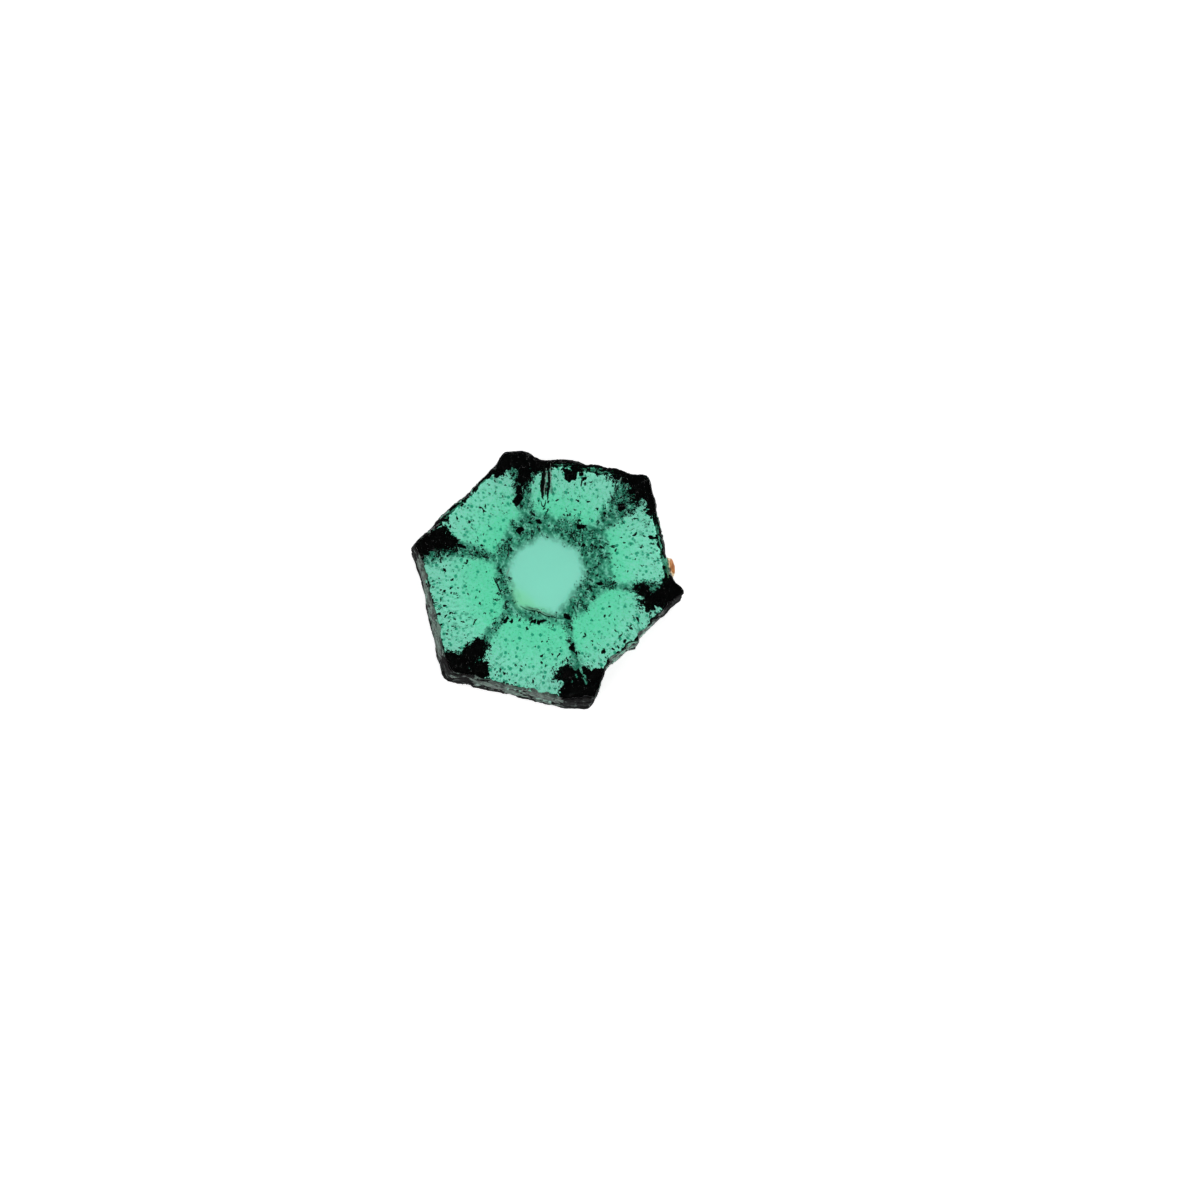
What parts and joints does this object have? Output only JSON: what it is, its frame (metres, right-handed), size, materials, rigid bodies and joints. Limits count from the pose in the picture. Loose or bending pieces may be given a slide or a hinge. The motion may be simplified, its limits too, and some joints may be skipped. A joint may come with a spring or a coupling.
{
  "type": "trapiche emerald slice",
  "caption": "Polished hexagonal slice of green beryl with a pale core, dark arms running to the corners, and a rough dark rim.",
  "frame": {"origin": "under the middle of the slice's bounding box, on its lower polished face", "axes": "+Z along the crystal's c-axis, square to both polished faces; +X almost at the corner with the small knob, along the slice's longest extent"},
  "size_m": [0.006, 0.0054, 0.001],
  "materials": {
    "emerald": "polished",
    "black_shale": "matte",
    "iron_stained_grain": "satin"
  },
  "bodies": {
    "root": {"emerald_slice": "emerald"}
  },
  "joints": []
}
